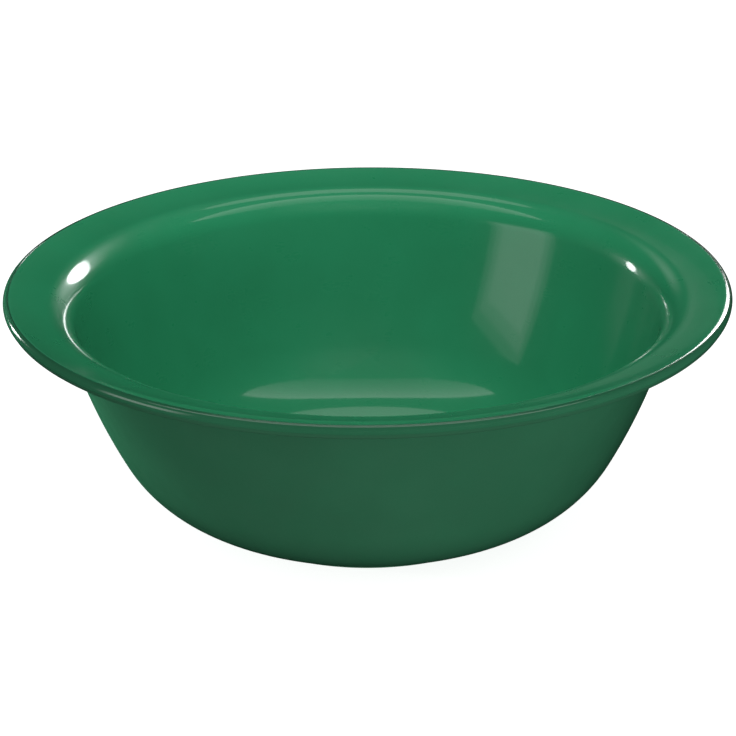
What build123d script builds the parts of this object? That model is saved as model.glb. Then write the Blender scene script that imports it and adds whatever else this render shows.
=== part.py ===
from build123d import *
import os
from math import acos, asin, atan2, cos, degrees, radians, sin, sqrt, tan

# Mixing bowl, one press moulding of green melamine with a clear glaze pressed onto its food side.
# Millimetres and degrees, +Z up. The origin is the centre of the circle that the foot stands on.
# The bowl is round, so each piece is a section, drawn as radius and height, turned about +Z.
# A slope is how steeply a surface climbs as it goes outward: 0 is level and 90 is upright.

# Overall
rim_diameter = 245.0      # widest circle of the rim
height = 80.6             # from the table to the crest of the rim

# Thicknesses
wall = 3.4                # moulding and glaze together, the same in floor, side and flange
glaze = 0.3               # clear layer on the food side

# Foot
foot_height = 1.8         # from the table to the flat underside
foot_width = 3.6          # the ring's own wall
foot_overhang = 7.4       # the ring's outside, past the edge of the flat underside
foot_edge = 0.6           # rounding where the ring meets the table
foot_root = 0.6           # fillet where the ring grows out of the underside

# Side, measured on the food side
turn_radius = 40.9        # from the floor up into the side
side_radius = 193.8       # the side's slow belly
side_slope = 75.0         # slope of the side where it reaches the shoulder

# Flange, measured on the food side
shoulder_radius = 12.0    # where the side rolls over into the flange
flange_width = 11.8       # from the shoulder to the crest, on plan
flange_hollow = 60.0      # radius of the flange's shallow hollow
crest_slope = 18.5        # slope of the flange where it reaches the crest

# Edge of the rim
crest_inset = 1.9         # the crest, inside the widest circle
edge_lean = 32.0          # how far the outer face leans in towards its bottom
rim_depth = 4.8           # from the crest to the rim's level underside
rim_corner = 1.9          # rounding at the bottom of the outer face


def section_point(radius, level):
    """A point of the section."""
    return Vector(radius, level)


def food_side_normal(slope):
    """The unit direction that points out of the food side where it has this slope."""
    return Vector(-sin(radians(slope)), cos(radians(slope)))


# The crest, and then the centres of the arcs that follow it inward and down
rim_radius = rim_diameter / 2
floor_level = foot_height + wall
crest = section_point(rim_radius - crest_inset, height)
flange_centre = crest + food_side_normal(crest_slope) * flange_hollow
flange_slope = degrees(asin(sin(radians(crest_slope)) - flange_width / flange_hollow))
shoulder_centre = flange_centre - food_side_normal(flange_slope) * (flange_hollow + shoulder_radius)
side_centre = shoulder_centre + food_side_normal(side_slope) * (shoulder_radius + side_radius)

# The turn's arc touches both the floor and the side
turn_level = floor_level + turn_radius
side_to_turn = side_radius - turn_radius
turn_drop = side_centre.Y - turn_level
turn_centre = section_point(side_centre.X + sqrt(side_to_turn**2 - turn_drop**2), turn_level)
turn_slope = degrees(atan2(turn_centre.X - side_centre.X, turn_drop))

# The foot's outside, and the lower edge of the glaze where it ends under the crest
foot_outside = turn_centre.X + foot_overhang
glaze_end = crest - food_side_normal(crest_slope) * glaze

# The rim's level underside starts where it cuts the underside of the flange
rim_level = height - rim_depth
undercut_slope = degrees(acos((flange_centre.Y - rim_level) / (flange_hollow + wall)))


def hollow(centre, radius, start_slope, end_slope):
    """An arc that the food side is hollow along."""
    return CenterArc(centre, radius, start_slope - 90, end_slope - start_slope)


def swell(centre, radius, start_slope, end_slope):
    """An arc that the food side swells out along."""
    return CenterArc(centre, radius, start_slope + 90, end_slope - start_slope)


def contour(depth, last_slope):
    """The line that runs at one depth under the food side, from the axis out along the flange."""
    return [
        Line((0, floor_level - depth), (turn_centre.X, floor_level - depth)),
        hollow(turn_centre, turn_radius + depth, 0, turn_slope),
        hollow(side_centre, side_radius + depth, turn_slope, side_slope),
        swell(shoulder_centre, shoulder_radius - depth, side_slope, flange_slope),
        hollow(flange_centre, flange_hollow + depth, flange_slope, last_slope),
    ]


def rim_edge():
    """The rounded edge of the rim, from its level underside, up the outer face, to the crest."""
    round_centre = crest - section_point(0, crest_inset)
    face_top = round_centre + food_side_normal(-90 - edge_lean) * crest_inset
    inward = food_side_normal(180 - edge_lean)
    face_length = (face_top.Y - rim_level) / cos(radians(edge_lean))
    face_end = face_top + inward * face_length
    start = flange_centre - food_side_normal(undercut_slope) * (flange_hollow + wall)
    trim = rim_corner * tan(radians((90 - edge_lean) / 2))
    corner_centre = section_point(face_end.X - trim, rim_level + rim_corner)
    return [
        Line(start, (face_end.X - trim, rim_level)),
        CenterArc(corner_centre, rim_corner, -90, 90 - edge_lean),
        Line(face_end - inward * trim, face_top),
        CenterArc(round_centre, crest_inset, -edge_lean, 90 + edge_lean),
    ]


def section_face(lines):
    """The closed face of a section that these lines run round."""
    return make_face(Wire(lines))


def turned(section):
    """The solid that a section makes, turned about +Z."""
    return revolve(Plane.XZ * section, Axis.Z)


def foot_ring():
    """The section of the ring that the bowl stands on, up to the middle of the floor over it."""
    middle = section_point(foot_outside - foot_width / 2, (floor_level - wall / 2) / 2)
    ring = Pos(middle) * Rectangle(foot_width, middle.Y * 2)
    bottom = ring.vertices().sort_by(Axis.Y)[:2]
    return fillet(bottom, min(foot_edge, foot_height / 3, foot_width / 3))


def with_foot(shell):
    """The shell's section with the foot ring grown out of its underside."""
    section = shell + foot_ring()
    under_turn = turn_level - sqrt((turn_radius + wall)**2 - foot_overhang**2)
    root_points = [
        section_point(foot_outside - foot_width, foot_height),
        section_point(foot_outside, under_turn),
    ]
    roots = [section.vertices().sort_by_distance(point)[0] for point in root_points]
    return fillet(roots, min(foot_root, foot_height / 3))


def bowl_body():
    """The green moulding: floor, foot, side, flange and rim."""
    shell = section_face([
        Line((0, floor_level - glaze), (0, floor_level - wall)),
        *contour(wall, undercut_slope),
        *rim_edge(),
        Line(crest, glaze_end),
        *contour(glaze, crest_slope),
    ])
    return turned(with_foot(shell))


def food_side_glaze():
    """The clear layer over floor, side and flange. It lies on the moulding and ends at the crest."""
    film = section_face([
        Line((0, floor_level - glaze), (0, floor_level)),
        *contour(0, crest_slope),
        Line(crest, glaze_end),
        *contour(glaze, crest_slope),
    ])
    return turned(film)


os.makedirs("parts", exist_ok=True)
export_step(bowl_body(), "parts/bowl_body.step")
export_step(food_side_glaze(), "parts/food_side_glaze.step")
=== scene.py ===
import math

import bpy
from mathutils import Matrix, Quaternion, Vector


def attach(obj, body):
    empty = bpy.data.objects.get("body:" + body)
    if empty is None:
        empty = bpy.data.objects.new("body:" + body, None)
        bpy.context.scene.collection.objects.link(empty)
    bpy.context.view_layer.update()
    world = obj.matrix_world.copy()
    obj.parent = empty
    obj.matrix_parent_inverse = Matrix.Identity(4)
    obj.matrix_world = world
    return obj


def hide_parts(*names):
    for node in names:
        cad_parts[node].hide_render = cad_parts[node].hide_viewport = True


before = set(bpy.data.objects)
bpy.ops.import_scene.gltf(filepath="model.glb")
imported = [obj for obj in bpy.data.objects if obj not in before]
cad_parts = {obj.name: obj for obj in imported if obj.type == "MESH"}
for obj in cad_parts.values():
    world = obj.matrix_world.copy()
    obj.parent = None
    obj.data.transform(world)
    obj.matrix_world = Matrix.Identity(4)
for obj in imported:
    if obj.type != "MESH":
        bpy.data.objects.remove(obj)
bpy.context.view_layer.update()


# ---- Green moulding -------------------------------------------------------------------------------
# The bowl itself: floor, foot ring, side, flange and rim lip in one piece of green melamine resin,
# pressed from powder between two hot steel dies. Its outside is smooth from the die and less glossy
# than the food side. Its lip is polished, and its foot and the edge of the lip are lightly sanded.

MM = 0.001
rim_radius = 122.5 * MM
height = 80.6 * MM
wall = 3.4 * MM
glaze = 0.3 * MM
foot_height = 1.8 * MM
foot_width = 3.6 * MM
foot_overhang = 7.4 * MM
foot_edge = 0.6 * MM
foot_root = 0.6 * MM
turn_radius = 40.9 * MM
side_radius = 193.8 * MM
side_slope = 75.0
shoulder_radius = 12.0 * MM
flange_width = 11.8 * MM
flange_hollow = 60.0 * MM
crest_slope = 18.5
crest_inset = 1.9 * MM
edge_lean = 32.0
rim_depth = 4.8 * MM
rim_corner = 1.9 * MM
crest_corner = 0.12 * MM
turned_facets = 320


def out_of_food_side(slope):
    """Unit direction out of the food side, as radius and height, where it climbs outward at this slope."""
    return Vector((-math.sin(math.radians(slope)), math.cos(math.radians(slope))))


def arc(centre, radius, start, end, steps):
    """Points of an arc from one slope to the other. A negative radius makes it swell, not hollow."""
    slopes = [start + (end - start) * step / steps for step in range(steps + 1)]
    return [centre - out_of_food_side(slope) * radius for slope in slopes]


floor_level = foot_height + wall
rim_level = height - rim_depth
crest = Vector((rim_radius - crest_inset, height))
flange_centre = crest + out_of_food_side(crest_slope) * flange_hollow
flange_slope = math.degrees(math.asin(math.sin(math.radians(crest_slope)) - flange_width / flange_hollow))
shoulder_centre = flange_centre - out_of_food_side(flange_slope) * (flange_hollow + shoulder_radius)
side_centre = shoulder_centre + out_of_food_side(side_slope) * (shoulder_radius + side_radius)
turn_level = floor_level + turn_radius
turn_drop = side_centre.y - turn_level
turn_reach = math.sqrt((side_radius - turn_radius) ** 2 - turn_drop ** 2)
turn_centre = Vector((side_centre.x + turn_reach, turn_level))
turn_slope = math.degrees(math.atan2(turn_reach, turn_drop))


def food_side_line(depth, last_slope):
    """The line at one depth under the food side, from the axis out along the flange."""
    line = [Vector((turn_centre.x * share, floor_level - depth)) for share in (0, 0.25, 0.5, 0.75)]
    line += arc(turn_centre, turn_radius + depth, 0, turn_slope, 32)
    line += arc(side_centre, side_radius + depth, turn_slope, side_slope, 36)[1:]
    line += arc(shoulder_centre, depth - shoulder_radius, side_slope, flange_slope, 26)[1:]
    line += arc(flange_centre, flange_hollow + depth, flange_slope, last_slope, 12)[1:]
    return line


def foot_line():
    """The underside from the axis out, round the foot ring to where it leaves the turn of the wall."""
    outside = turn_centre.x + foot_overhang
    inside = outside - foot_width
    root_centre = Vector((inside - foot_root, foot_height - foot_root))
    outer_turn = turn_radius + wall
    fillet_reach = foot_overhang + foot_root
    fillet_slope = math.degrees(math.asin(fillet_reach / (outer_turn + foot_root)))
    fillet_centre = turn_centre - out_of_food_side(fillet_slope) * (outer_turn + foot_root)
    line = [Vector((root_centre.x * share, foot_height)) for share in (0, 0.25, 0.5, 0.75)]
    line += arc(root_centre, foot_root, 180, 90, 6)
    line += arc(Vector((inside + foot_edge, foot_edge)), foot_edge, -90, 0, 6)
    line += arc(Vector((outside - foot_edge, foot_edge)), foot_edge, 0, 90, 6)
    line += arc(fillet_centre, foot_root, -90, fillet_slope - 180, 6)
    line += arc(turn_centre, outer_turn, fillet_slope, turn_slope, 28)[1:]
    return line


def lip_line():
    """From under the flange out round the lip to the inner corner of its crest."""
    undercut_reach = flange_hollow + wall
    undercut_slope = math.degrees(math.acos((flange_centre.y - rim_level) / undercut_reach))
    round_centre = crest - Vector((0, crest_inset))
    face_top = round_centre + out_of_food_side(-90 - edge_lean) * crest_inset
    face_drop = (face_top.y - rim_level) / math.cos(math.radians(edge_lean))
    face_end = face_top + out_of_food_side(180 - edge_lean) * face_drop
    corner_trim = rim_corner * math.tan(math.radians((90 - edge_lean) / 2))
    corner_centre = Vector((face_end.x - corner_trim, rim_level + rim_corner))
    inner_corner = crest + Vector((crest_corner, -crest_corner))
    line = arc(flange_centre, undercut_reach, flange_slope, undercut_slope, 8)[1:]
    line += arc(corner_centre, rim_corner, 0, 90 - edge_lean, 10)
    line += arc(round_centre, crest_inset, 90 - edge_lean, 176, 26)
    line += arc(inner_corner, crest_corner, 180, 270, 4)
    return line


def turn_about_axis(name, outline):
    """A closed mesh from an outline of radius and height, turned about the upright axis."""
    corners, faces, rings = [], [], []
    for point in outline:
        count = 1 if point.x < 1e-9 else turned_facets
        rings.append(range(len(corners), len(corners) + count))
        for turn in range(count):
            angle = 2 * math.pi * turn / turned_facets
            corners.append((point.x * math.cos(angle), point.x * math.sin(angle), point.y))
    for low, high in zip(rings, rings[1:] + rings[:1]):
        for turn in range(turned_facets):
            after = (turn + 1) % turned_facets
            if len(low) == 1 and len(high) > 1:
                faces.append((low[0], high[turn], high[after]))
            elif len(high) == 1 and len(low) > 1:
                faces.append((low[turn], high[0], low[after]))
            elif len(low) > 1:
                faces.append((low[turn], high[turn], high[after], low[after]))
    mesh = bpy.data.meshes.new(name)
    mesh.from_pydata(corners, [], faces)
    mesh.polygons.foreach_set("use_smooth", [True] * len(mesh.polygons))
    piece = bpy.data.objects.new(name, mesh)
    bpy.context.scene.collection.objects.link(piece)
    return piece


body_outline = foot_line()
body_outline += arc(side_centre, side_radius + wall, turn_slope, side_slope, 32)[1:]
body_outline += arc(shoulder_centre, wall - shoulder_radius, side_slope, flange_slope, 20)[1:]
body_outline += lip_line()
body_outline += reversed(food_side_line(glaze, crest_slope))
body = turn_about_axis("green_moulding", body_outline)


class Finish:
    """The nodes of one material, with the few links that the bowl's finishes are made of."""

    def __init__(self, name):
        self.material = bpy.data.materials.new(name)
        self.material.use_nodes = True
        self.tree = self.material.node_tree
        self.surface = self.tree.nodes["Principled BSDF"]
        self.place = self.tree.nodes.new("ShaderNodeTexCoord").outputs["Object"]

    def feed(self, socket, value):
        if isinstance(value, bpy.types.NodeSocket):
            self.tree.links.new(value, socket)
        else:
            socket.default_value = value

    def maths(self, operation, first, second=0.0):
        node = self.tree.nodes.new("ShaderNodeMath")
        node.operation = operation
        self.feed(node.inputs[0], first)
        self.feed(node.inputs[1], second)
        return node.outputs[0]

    def noise(self, grain, detail=2.0, place=None):
        """Smooth noise with lumps of about this size, in metres, from 0 to 1."""
        node = self.tree.nodes.new("ShaderNodeTexNoise")
        node.inputs["Scale"].default_value = 1 / grain
        node.inputs["Detail"].default_value = detail
        self.feed(node.inputs["Vector"], place or self.place)
        return node.outputs["Fac"]

    def step(self, value, low, high, low_result=0.0, high_result=1.0):
        """Goes smoothly from one result to the other as the value goes from low to high."""
        node = self.tree.nodes.new("ShaderNodeMapRange")
        node.interpolation_type = "SMOOTHSTEP"
        for socket, number in zip(node.inputs, (value, low, high, low_result, high_result)):
            self.feed(socket, number)
        return node.outputs["Result"]

    def blend(self, share, first, second):
        node = self.tree.nodes.new("ShaderNodeMix")
        node.data_type = "RGBA"
        self.feed(node.inputs["Factor"], share)
        self.feed(node.inputs["A"], first)
        self.feed(node.inputs["B"], second)
        return node.outputs["Result"]

    def axial(self):
        """Radius from the bowl's axis, height, and the turn about the axis in radians."""
        node = self.tree.nodes.new("ShaderNodeSeparateXYZ")
        self.feed(node.inputs[0], self.place)
        across, back, up = node.outputs
        radius = self.maths("SQRT", self.maths("ADD", self.maths("MULTIPLY", across, across),
                                               self.maths("MULTIPLY", back, back)))
        return radius, up, self.maths("ARCTAN2", back, across)

    def unrolled(self, radius, up, turn, stretch):
        """Coordinates in which lumps of noise become lines that run round the bowl."""
        node = self.tree.nodes.new("ShaderNodeCombineXYZ")
        self.feed(node.inputs[0], radius)
        self.feed(node.inputs[1], up)
        self.feed(node.inputs[2], self.maths("MULTIPLY", turn, stretch))
        return node.outputs[0]

    def bump(self, height_value, depth, after=None):
        node = self.tree.nodes.new("ShaderNodeBump")
        node.inputs["Strength"].default_value = 1.0
        node.inputs["Distance"].default_value = depth
        self.feed(node.inputs["Height"], height_value)
        if after is not None:
            self.feed(node.inputs["Normal"], after)
        return node.outputs["Normal"]


MOULDING_GREEN = (0.0270, 0.156, 0.0770, 1)
MOULDING_SHADE = (0.0250, 0.147, 0.0720, 1)
SANDED_GREEN = (0.050, 0.200, 0.105, 1)


def satin_moulding():
    """Green with the die's fine grain, cutter rings under the foot, a polished lip and sanded edges."""
    finish = Finish("satin_green_melamine")
    radius, up, turn = finish.axial()
    pigment = finish.noise(28 * MM, 3)
    speckle = finish.noise(0.5 * MM, 1)
    colour = finish.blend(finish.step(pigment, 0.35, 0.65), MOULDING_SHADE, MOULDING_GREEN)
    colour = finish.blend(finish.step(speckle, 0.40, 0.65, 0, 0.08), colour, SANDED_GREEN)
    foot = finish.step(up, 0.15 * MM, 0.7 * MM, 1, 0)
    lip = finish.step(radius, crest.x - 1.1 * MM, crest.x - 0.1 * MM)
    below_crest = finish.step(up, rim_level + 1.2 * MM, rim_level + 2.2 * MM, 1, 0)
    lip_edge = finish.maths("MULTIPLY", lip, below_crest)
    sanded = finish.maths("MAXIMUM", foot, finish.maths("MULTIPLY", lip_edge, 0.35))
    colour = finish.blend(finish.maths("MULTIPLY", sanded, 0.6), colour, SANDED_GREEN)
    finish.feed(finish.surface.inputs["Base Color"], colour)
    handling = finish.noise(9 * MM, 4)
    polish = finish.step(up, rim_level + 1.6 * MM, rim_level + 2.8 * MM, 1, 0.3)
    rough = finish.maths("MULTIPLY", finish.step(handling, 0.3, 0.7, 0.34, 0.42), polish)
    rough = finish.maths("ADD", rough, finish.maths("MULTIPLY", sanded, 0.3))
    finish.feed(finish.surface.inputs["Roughness"], rough)
    cutter_lines = finish.noise(0.35 * MM, 2, finish.unrolled(radius, up, turn, 3 * MM))
    underside = finish.step(up, 1.5 * MM, 2.5 * MM, 1, 0)
    rings = finish.bump(finish.maths("MULTIPLY", cutter_lines, underside), 0.02 * MM)
    grain = finish.bump(finish.noise(0.7 * MM, 2), 0.004 * MM, rings)
    waves = finish.bump(finish.noise(22 * MM, 1), 0.05 * MM, grain)
    finish.feed(finish.surface.inputs["Normal"], waves)
    finish.surface.inputs["Specular IOR Level"].default_value = 0.5
    finish.surface.inputs["Coat Weight"].default_value = 0.6
    finish.surface.inputs["Coat Roughness"].default_value = 0.12
    return finish.material


body.data.materials.append(satin_moulding())
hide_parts("bowl_body")
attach(body, "root")


# ---- Food side glaze ------------------------------------------------------------------------------
# A second charge of clear melamine, pressed onto the green in a second stroke. It covers the floor,
# side, shoulder and flange and ends in a fine rounded edge at the crest of the rim. It is drawn as a
# green that is already seen through the clear, under a gloss coat.

glaze_end_slope = crest_slope - math.degrees(glaze / flange_hollow)
glaze_end_centre = flange_centre - out_of_food_side(glaze_end_slope) * (flange_hollow + glaze)
film_outline = food_side_line(0, glaze_end_slope)
film_outline += arc(glaze_end_centre, -glaze, glaze_end_slope, glaze_end_slope - 90, 6)[1:]
film_outline += reversed(food_side_line(glaze, glaze_end_slope))
film = turn_about_axis("food_side_glaze_layer", film_outline)

GLAZED_GREEN = (0.0135, 0.174, 0.075, 1)
GLAZED_DEEP = (0.0125, 0.163, 0.069, 1)
WORN_GREEN = (0.030, 0.210, 0.110, 1)


def glossy_glaze():
    """Deep green under clear gloss, with faint flow waves, wiping marks and a lightly worn crest."""
    finish = Finish("glazed_green_melamine")
    radius, up, turn = finish.axial()
    pigment = finish.noise(35 * MM, 3)
    colour = finish.blend(finish.step(pigment, 0.35, 0.65), GLAZED_DEEP, GLAZED_GREEN)
    speckle = finish.noise(0.45 * MM, 1)
    colour = finish.blend(finish.step(speckle, 0.40, 0.65, 0, 0.05), colour, WORN_GREEN)
    near_crest = finish.step(radius, crest.x - 1.2 * MM, crest.x - 0.2 * MM)
    worn = finish.maths("MULTIPLY", near_crest, finish.noise(4 * MM, 3))
    colour = finish.blend(finish.maths("MULTIPLY", worn, 0.5), colour, WORN_GREEN)
    finish.feed(finish.surface.inputs["Base Color"], colour)
    streaks = finish.noise(0.5 * MM, 3, finish.unrolled(radius, up, turn, 12 * MM))
    wiped = finish.step(streaks, 0.50, 0.75, 0, 0.03)
    rough = finish.step(finish.noise(12 * MM, 4), 0.3, 0.7, 0.27, 0.33)
    rough = finish.maths("ADD", rough, finish.maths("ADD", wiped, finish.maths("MULTIPLY", worn, 0.1)))
    finish.feed(finish.surface.inputs["Roughness"], rough)
    waves = finish.bump(finish.noise(18 * MM, 1), 0.012 * MM)
    finish.feed(finish.surface.inputs["Normal"], waves)
    finish.feed(finish.surface.inputs["Coat Normal"], waves)
    finish.surface.inputs["Specular IOR Level"].default_value = 0.14
    finish.surface.inputs["Coat Weight"].default_value = 0.8
    finish.surface.inputs["Coat Roughness"].default_value = 0.07
    return finish.material


film.data.materials.append(glossy_glaze())
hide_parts("food_side_glaze")
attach(film, "root")


# ---- Floor ----------------------------------------------------------------------------------------
# The bowl stands on a sheet of white acrylic with a lit box under it, which leaves almost no shadow.
# The sheet is matt, and is kept out of the gloss and out of the light on the bowl.

floor_reach = 8.0
floor_corners = [(x * floor_reach, y * floor_reach, 0) for x, y in ((-1, -1), (1, -1), (1, 1), (-1, 1))]
floor_mesh = bpy.data.meshes.new("white_table")
floor_mesh.from_pydata(floor_corners, [], [(0, 1, 2, 3)])
floor = bpy.data.objects.new("white_table", floor_mesh)
bpy.context.scene.collection.objects.link(floor)
table = Finish("white_acrylic")
table.surface.inputs["Base Color"].default_value = (0.8, 0.8, 0.8, 1)
table.surface.inputs["Roughness"].default_value = 0.8
table.surface.inputs["Specular IOR Level"].default_value = 0.0
table.surface.inputs["Emission Color"].default_value = (1, 1, 1, 1)
table.surface.inputs["Emission Strength"].default_value = 0.85
floor.data.materials.append(table.material)
floor.visible_glossy = False
floor.visible_diffuse = False


# ---- Studio light ---------------------------------------------------------------------------------
# A white tent lights the bowl evenly and is kept out of its gloss. What shows in the gloss is a wide
# strip and a panel overhead, soft boxes on the left and at the back, and two small lamps. The fills
# at the front and on the left only add light, and the high front one falls on the food side alone.

TENT = 0.40
tent = bpy.data.worlds.new("white_tent")
bpy.context.scene.world = tent
tent.use_nodes = True
tent_light = tent.node_tree.nodes["Background"]
tent_light.inputs["Color"].default_value = (1, 1, 1, 1)
tent_light.inputs["Strength"].default_value = TENT
tent_rays = tent.node_tree.nodes.new("ShaderNodeLightPath")
tent_share = tent.node_tree.nodes.new("ShaderNodeMath")
tent_share.operation = "MULTIPLY_ADD"
tent_share.inputs[1].default_value = -TENT
tent_share.inputs[2].default_value = TENT
tent.node_tree.links.new(tent_rays.outputs["Is Glossy Ray"], tent_share.inputs[0])
tent.node_tree.links.new(tent_share.outputs[0], tent_light.inputs["Strength"])
bpy.context.scene.view_settings.view_transform = "Standard"


def panel(name, place, aim, size, level, shape="RECTANGLE", in_gloss=True, lights=True, beam=180, tilt=0):
    """A flat lamp of this width and height, as bright as level times white, facing the point at its aim."""
    width, length = size
    lamp = bpy.data.lights.new(name, "AREA")
    lamp.shape = shape
    lamp.size = width
    lamp.size_y = length
    lamp.spread = math.radians(beam)
    half_beam = math.radians(beam / 2)
    beam_share = 1 if beam == 180 else 1 - half_beam / math.tan(half_beam)
    area = width * length * (math.pi / 4 if shape == "ELLIPSE" else 1)
    lamp.energy = level * math.pi * area * beam_share
    stand = bpy.data.objects.new(name, lamp)
    stand.location = place
    stand.rotation_mode = "QUATERNION"
    facing = (Vector(aim) - Vector(place)).to_track_quat("-Z", "Y")
    stand.rotation_quaternion = facing @ Quaternion((0, 0, 1), math.radians(tilt))
    stand.visible_camera = False
    stand.visible_glossy = in_gloss
    stand.visible_diffuse = lights
    bpy.context.scene.collection.objects.link(stand)
    return stand


def round_the_bowl(aim, turn, rise, distance):
    """A place this far from a point, at a turn from the bowl's right-hand side and a rise above it."""
    turn, rise = math.radians(turn), math.radians(rise)
    way = Vector((math.cos(rise) * math.cos(turn), math.cos(rise) * math.sin(turn), math.sin(rise)))
    return Vector(aim) + way * distance


bowl_middle = Vector((0, 0, height / 2))
overhead = 1.3
strip_levels = (0.45, 0.60, 0.75, 0.90, 1.05, 1.25, 1.50, 1.80, 2.2)
strip_front = -0.335
strip_back = 0.172
strip_width = 2.0
strip_rounding = 0.56
for band, level in enumerate(strip_levels):
    band_depth = (strip_back - strip_front) / len(strip_levels)
    middle = strip_front + (band + 0.5) * band_depth
    band_width = strip_width * math.sqrt(1 - ((strip_back - middle) / strip_rounding) ** 2)
    panel(f"overhead_strip_{band}", (0, middle, overhead), (0, middle, 0), (band_width, band_depth), level,
          lights=False)
panel("overhead_panel", (0, 0.66, overhead), (0, 0.66, 0), (0.76, 0.46), 1.3, "ELLIPSE")

# A soft box is three sheets one before the other, each smaller, so that it fades towards its edge.
sheets = 3
sheet_gap = 0.002
lamp_reach = 0.9
for sheet in range(sheets):
    shrink = 1 - 0.17 * sheet
    panel(f"left_soft_box_{sheet}", (-0.95 + sheet_gap * sheet, -0.38, 0.25), (0.05, 0.07, 0.05),
          (0.56 * shrink, 0.58 * shrink), 0.57)

left_shoulder = Vector((-0.100, 0.027, 0.076))
panel("rear_left_lamp", round_the_bowl(left_shoulder, 58.3, 22.4, lamp_reach), left_shoulder, (0.36, 0.20),
      14, "ELLIPSE", lights=False, tilt=33)
glow_levels = (0.06, 0.08, 0.08)
glow_reach = 0.91
for sheet, level in enumerate(glow_levels):
    shrink = 1 - 0.26 * sheet
    panel(f"rear_left_glow_{sheet}", round_the_bowl(left_shoulder, 61, 17, glow_reach - sheet_gap * sheet),
          left_shoulder, (0.66 * shrink, 0.72 * shrink), level, "ELLIPSE", lights=False)

right_side = Vector((0.092, 0.039, 0.072))
panel("left_lamp", round_the_bowl(right_side, 145.7, 9.5, lamp_reach), right_side, (0.10, 0.20), 16,
      "ELLIPSE", lights=False)

right_shoulder = Vector((0.103, 0.025, 0.077))
past_the_rim = (0.20, 0.025, 0.077)
for sheet in range(sheets):
    shrink = 1 - 0.28 * sheet
    panel(f"rear_soft_box_{sheet}", round_the_bowl(right_shoulder, 108, 27, lamp_reach - sheet_gap * sheet),
          past_the_rim, (0.28 * shrink, 0.48 * shrink), 0.25, "ELLIPSE", lights=False, beam=32)

front_fill = panel("front_fill", round_the_bowl(bowl_middle, -90, 58, 1.6), bowl_middle, (1.4, 1.0), 5.9,
                   in_gloss=False)
food_side = bpy.data.collections.new("food_side")
food_side.objects.link(film)
front_fill.light_linking.receiver_collection = food_side
panel("low_fill", (0.95, -1.20, 0.16), bowl_middle, (3.0, 0.3), 5.6, in_gloss=False)
panel("left_fill", (-0.985, 0.174, 0.06), (-0.098, 0.000, 0.050), (0.06, 0.06), 4800, in_gloss=False,
      beam=6.4)


# ---- Camera ---------------------------------------------------------------------------------------
# It stands ten rim radii off, looks down by 22 degrees at a point in the middle of the bowl's width
# and below its crest, and leans a third of a degree to one side.

camera_reach = 10 * rim_radius
camera_rise = math.radians(22.21)
camera_roll = math.radians(-0.33)
camera_aim = Vector((0, 0, height - 0.2483 * rim_radius))
lens = bpy.data.cameras.new("camera")
lens.lens = 176.2
lens.sensor_width = 36
camera = bpy.data.objects.new("camera", lens)
towards_camera = Vector((0, -math.cos(camera_rise), math.sin(camera_rise)))
camera.location = camera_aim + towards_camera * camera_reach
camera.rotation_euler = (math.pi / 2 - camera_rise, 0, 0)
camera.rotation_euler.rotate_axis("Z", camera_roll)
bpy.context.scene.collection.objects.link(camera)
bpy.context.scene.camera = camera
